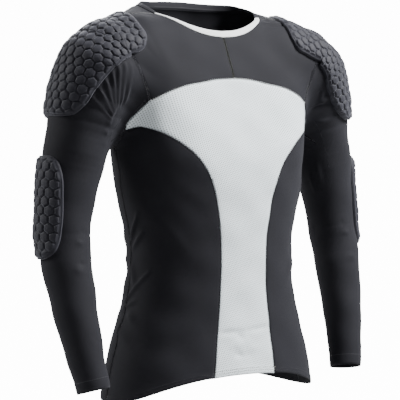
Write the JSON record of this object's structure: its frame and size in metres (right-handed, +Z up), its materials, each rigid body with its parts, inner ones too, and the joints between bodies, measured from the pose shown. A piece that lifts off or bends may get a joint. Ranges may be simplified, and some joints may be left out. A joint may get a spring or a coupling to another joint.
{
  "type": "padded compression shirt",
  "caption": "Close-fitting long-sleeved sports shirt in two tones, in its worn form, with foam pads of six-sided cells on the shoulders and elbows.",
  "frame": {"origin": "on the neck's own axis, level with the highest part of the neckline, where the wearer's neck and shoulders hold the shirt", "axes": "+X towards the wearer's left arm, +Y towards the back of the shirt, +Z up"},
  "size_m": [0.686, 0.2325, 0.6932],
  "materials": {
    "jersey": "smooth black knitted jersey with a soft sheen",
    "mesh": "matt white warp-knit mesh with very fine holes",
    "pale_binding": "matt white knitted tape, folded and stitched",
    "dark_binding": "matt black knitted tape, folded and stitched",
    "pad_cover": "matt black knit pressed over foam cells"
  },
  "bodies": {
    "root": {"front_yoke_left": "jersey", "front_yoke_right": "jersey", "front_mesh_panel": "mesh", "side_front_left": "jersey", "side_front_right": "jersey", "back_panel": "jersey", "sleeve_left": "jersey", "sleeve_right": "jersey", "neck_binding_front": "pale_binding", "neck_binding_back": "dark_binding", "shoulder_pad_left": "pad_cover", "shoulder_pad_right": "pad_cover", "elbow_pad_left": "pad_cover", "elbow_pad_right": "pad_cover"}
  },
  "joints": []
}
